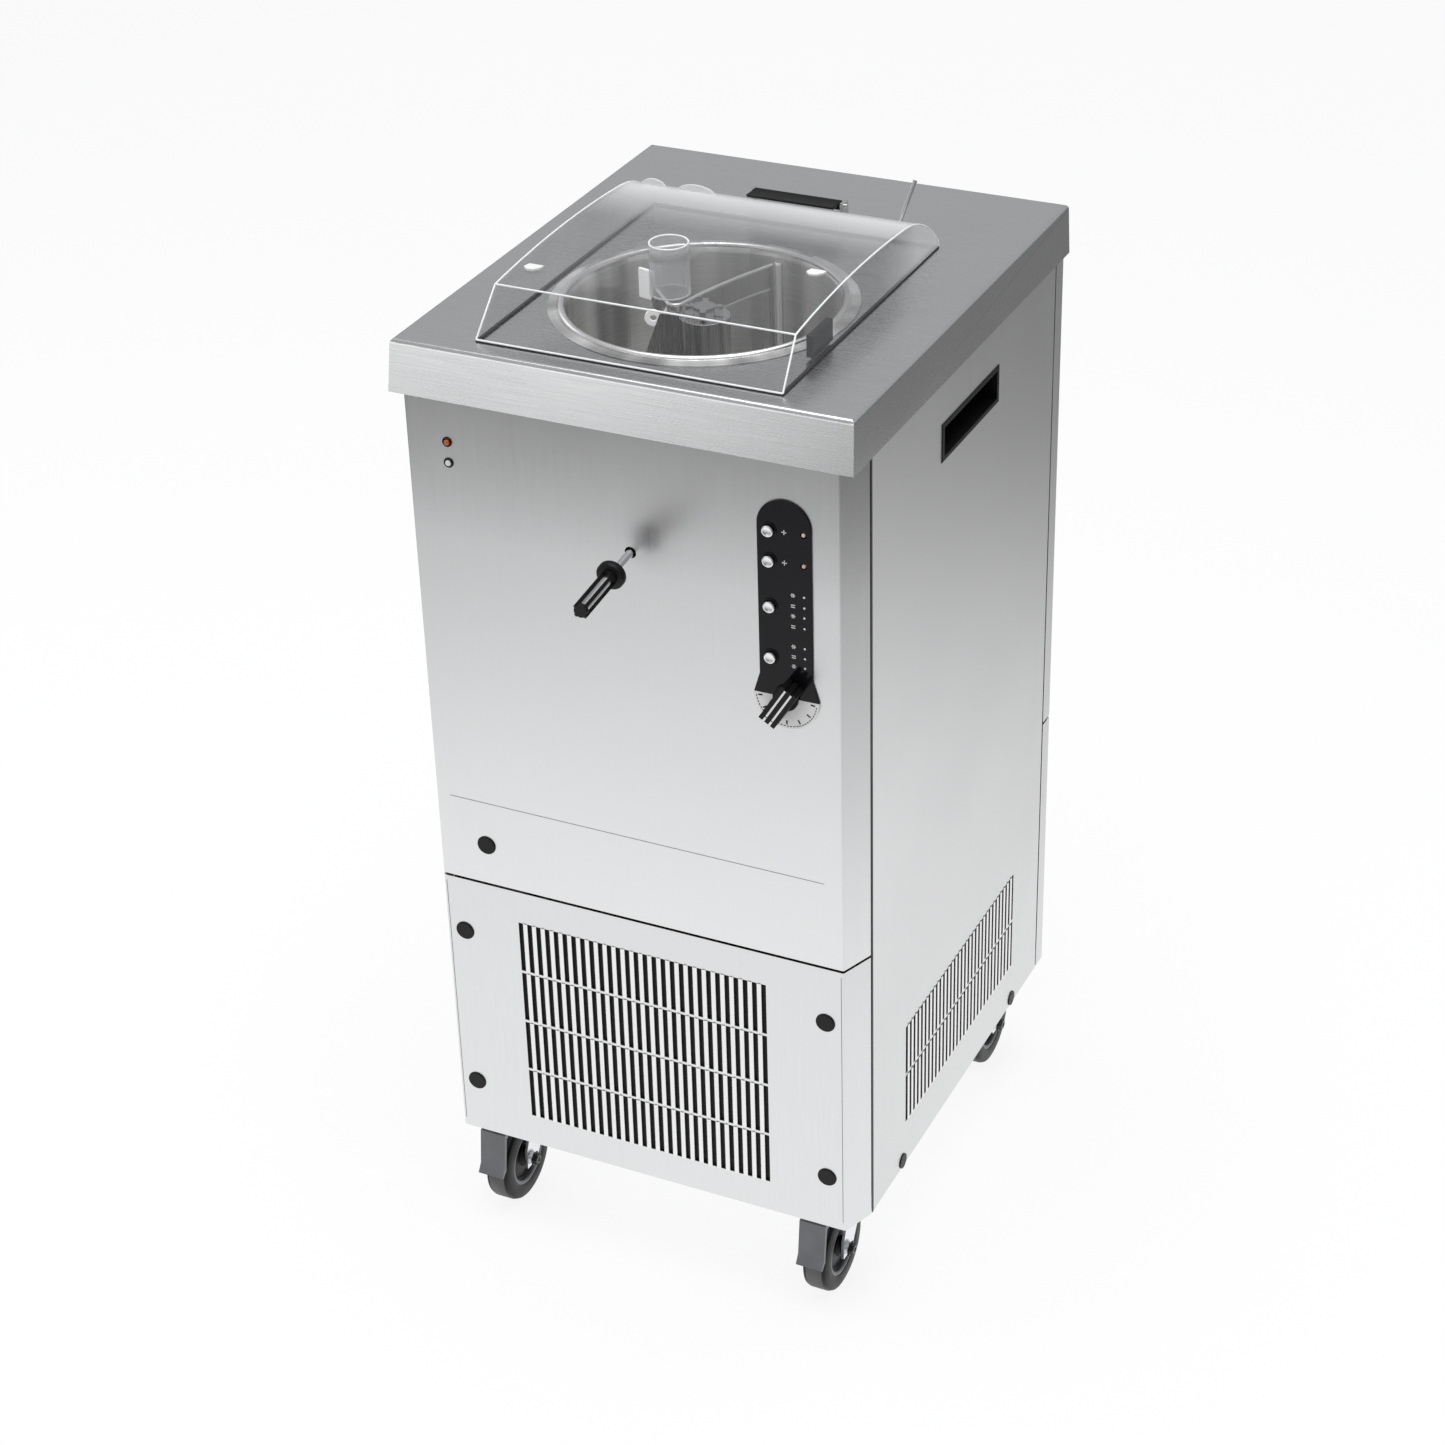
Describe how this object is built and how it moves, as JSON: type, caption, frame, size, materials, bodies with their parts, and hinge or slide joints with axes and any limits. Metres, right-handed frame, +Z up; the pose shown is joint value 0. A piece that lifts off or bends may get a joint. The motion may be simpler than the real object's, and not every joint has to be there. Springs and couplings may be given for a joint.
{
  "type": "ice cream maker",
  "caption": "Tall stainless-steel floor-standing ice cream maker on castors, with a vertical bowl under a clear hinged lid, a timer and button strip and a drain handle.",
  "frame": {"origin": "middle of the whole footprint, on the floor", "axes": "+X to the machine's right as seen from the front, +Y to its back, +Z up"},
  "size_m": [0.4846, 0.666, 1.12],
  "materials": {
    "satin_steel": "satin",
    "polished_steel": "polished",
    "zinc_plate": "zinc plated",
    "black_plastic": "matt",
    "gloss_black": "gloss",
    "white_plastic": "matt",
    "lamp_lens": "gloss",
    "silver_button": "satin",
    "chrome_rod": "polished",
    "clear_plastic": "clear",
    "dark_rubber": "matt",
    "magnet_black": "gloss",
    "circuit_board": "matt",
    "copper_tube": "dull",
    "foam": "foam",
    "motor_paint": "semi-gloss",
    "cast_alloy": "cast",
    "gear_steel": "machined",
    "grey_plastic": "matt",
    "castor_tyre": "matt"
  },
  "bodies": {
    "cabinet": {"bowl": "polished_steel", "bowl_insulation": "foam", "castor_plates": "zinc_plate", "chassis": "zinc_plate", "compressor": "motor_paint", "condenser": "cast_alloy", "control_board": "circuit_board", "control_strip": "gloss_black", "dial_plate": "white_plastic", "drain_pipe": "grey_plastic", "drive_motor": "motor_paint", "evaporator_coil": "copper_tube", "fan_shroud": "black_plastic", "front_lower_panel": "satin_steel", "front_upper_panel": "satin_steel", "gearbox_housing": "cast_alloy", "hand_holds": "black_plastic", "hinge_bracket": "polished_steel", "hinge_pin": "polished_steel", "indicator_lamps": "lamp_lens", "left_side_panel": "satin_steel", "lid_stop_rod": "polished_steel", "panel_plugs": "black_plastic", "power_gland": "black_plastic", "rear_lower_panel": "satin_steel", "rear_upper_panel": "satin_steel", "refrigerant_pipes": "copper_tube", "right_side_panel": "satin_steel", "safety_sensor": "grey_plastic", "screws": "zinc_plate", "worktop": "polished_steel"},
    "lid": {"lid": "clear_plastic", "lid_seal": "dark_rubber", "lid_magnet": "magnet_black", "hinge_bar": "black_plastic"},
    "feed_chute": {"feed_chute": "clear_plastic"},
    "paddle": {"paddle": "polished_steel", "scrapers": "white_plastic", "paddle_nut": "polished_steel", "drive_shaft": "polished_steel", "drive_gear": "gear_steel"},
    "motor_pinion": {"motor_pinion": "gear_steel"},
    "condenser_fan": {"condenser_fan": "black_plastic"},
    "timer_knob": {"timer_knob": "black_plastic"},
    "drain": {"drain_rod": "chrome_rod", "drain_grip": "black_plastic"},
    "push_button_1": {"push_button_1": "silver_button"},
    "push_button_2": {"push_button_2": "silver_button"},
    "push_button_3": {"push_button_3": "silver_button"},
    "push_button_4": {"push_button_4": "silver_button"},
    "castor_fork_front_left": {"castor_fork_front_left": "zinc_plate"},
    "castor_wheel_front_left": {"castor_wheel_front_left": "castor_tyre"},
    "castor_fork_front_right": {"castor_fork_front_right": "zinc_plate"},
    "castor_wheel_front_right": {"castor_wheel_front_right": "castor_tyre"},
    "castor_fork_rear_left": {"castor_fork_rear_left": "zinc_plate"},
    "castor_wheel_rear_left": {"castor_wheel_rear_left": "castor_tyre"},
    "castor_fork_rear_right": {"castor_fork_rear_right": "zinc_plate"},
    "castor_wheel_rear_right": {"castor_wheel_rear_right": "castor_tyre"},
    "brake_pedal_front_left": {"brake_pedal_front_left": "grey_plastic"},
    "brake_pedal_front_right": {"brake_pedal_front_right": "grey_plastic"}
  },
  "joints": [
    {"name": "lid_hinge", "type": "hinge", "parent": "cabinet", "child": "lid", "pos_m": [0, 0.1883, 1.082], "axis": [-1, 0, 0], "range_deg": [0, 95]},
    {"name": "chute_lift", "type": "slide", "parent": "lid", "child": "feed_chute", "axis": [0, 0, 1], "range_m": [0, 0.06]},
    {"name": "paddle_spin", "type": "hinge", "parent": "cabinet", "child": "paddle", "pos_m": [0, -0.0337, 1], "axis": [0, 0, 1], "continuous": true},
    {"name": "pinion_spin", "type": "hinge", "parent": "cabinet", "child": "motor_pinion", "pos_m": [0, 0.0563, 0.733], "axis": [0, 0, 1], "continuous": true},
    {"name": "fan_spin", "type": "hinge", "parent": "cabinet", "child": "condenser_fan", "pos_m": [0, -0.1317, 0.289], "axis": [0, 1, 0], "continuous": true},
    {"name": "knob_turn", "type": "hinge", "parent": "cabinet", "child": "timer_knob", "pos_m": [0.1712, -0.2297, 0.759], "axis": [0, 1, 0], "range_deg": [0, 270]},
    {"name": "button_1_press", "type": "slide", "parent": "cabinet", "child": "push_button_1", "axis": [0, 1, 0], "range_m": [0, 0.0015], "stiffness_N_per_m": 600, "springref_m": -0.001},
    {"name": "button_2_press", "type": "slide", "parent": "cabinet", "child": "push_button_2", "axis": [0, 1, 0], "range_m": [0, 0.0015], "stiffness_N_per_m": 600, "springref_m": -0.001},
    {"name": "button_3_press", "type": "slide", "parent": "cabinet", "child": "push_button_3", "axis": [0, 1, 0], "range_m": [0, 0.0015], "stiffness_N_per_m": 600, "springref_m": -0.001},
    {"name": "button_4_press", "type": "slide", "parent": "cabinet", "child": "push_button_4", "axis": [0, 1, 0], "range_m": [0, 0.0015], "stiffness_N_per_m": 600, "springref_m": -0.001},
    {"name": "drain_pull", "type": "slide", "parent": "cabinet", "child": "drain", "axis": [0, -0.9945, -0.1045], "range_m": [0, 0.03]},
    {"name": "castor_swivel_front_left", "type": "hinge", "parent": "cabinet", "child": "castor_fork_front_left", "pos_m": [-0.198, -0.1367, 0.112], "axis": [0, 0, 1], "continuous": true},
    {"name": "castor_roll_front_left", "type": "hinge", "parent": "castor_fork_front_left", "child": "castor_wheel_front_left", "pos_m": [-0.198, -0.1697, 0.05], "axis": [1, 0, 0], "continuous": true},
    {"name": "castor_swivel_front_right", "type": "hinge", "parent": "cabinet", "child": "castor_fork_front_right", "pos_m": [0.186, -0.1367, 0.112], "axis": [0, 0, 1], "continuous": true},
    {"name": "castor_roll_front_right", "type": "hinge", "parent": "castor_fork_front_right", "child": "castor_wheel_front_right", "pos_m": [0.186, -0.1697, 0.05], "axis": [1, 0, 0], "continuous": true},
    {"name": "castor_swivel_rear_left", "type": "hinge", "parent": "cabinet", "child": "castor_fork_rear_left", "pos_m": [-0.198, 0.2383, 0.112], "axis": [0, 0, 1], "continuous": true},
    {"name": "castor_roll_rear_left", "type": "hinge", "parent": "castor_fork_rear_left", "child": "castor_wheel_rear_left", "pos_m": [-0.198, 0.2713, 0.05], "axis": [1, 0, 0], "continuous": true},
    {"name": "castor_swivel_rear_right", "type": "hinge", "parent": "cabinet", "child": "castor_fork_rear_right", "pos_m": [0.186, 0.2383, 0.112], "axis": [0, 0, 1], "continuous": true},
    {"name": "castor_roll_rear_right", "type": "hinge", "parent": "castor_fork_rear_right", "child": "castor_wheel_rear_right", "pos_m": [0.186, 0.2713, 0.05], "axis": [1, 0, 0], "continuous": true},
    {"name": "pedal_press_front_left", "type": "hinge", "parent": "castor_fork_front_left", "child": "brake_pedal_front_left", "pos_m": [-0.198, -0.1957, 0.114], "axis": [1, 0, 0], "range_deg": [0, 4]},
    {"name": "pedal_press_front_right", "type": "hinge", "parent": "castor_fork_front_right", "child": "brake_pedal_front_right", "pos_m": [0.186, -0.1957, 0.114], "axis": [1, 0, 0], "range_deg": [0, 4]}
  ],
  "couplings": [
    {"joint": "pinion_spin", "follows": "paddle_spin", "ratio": -4}
  ]
}
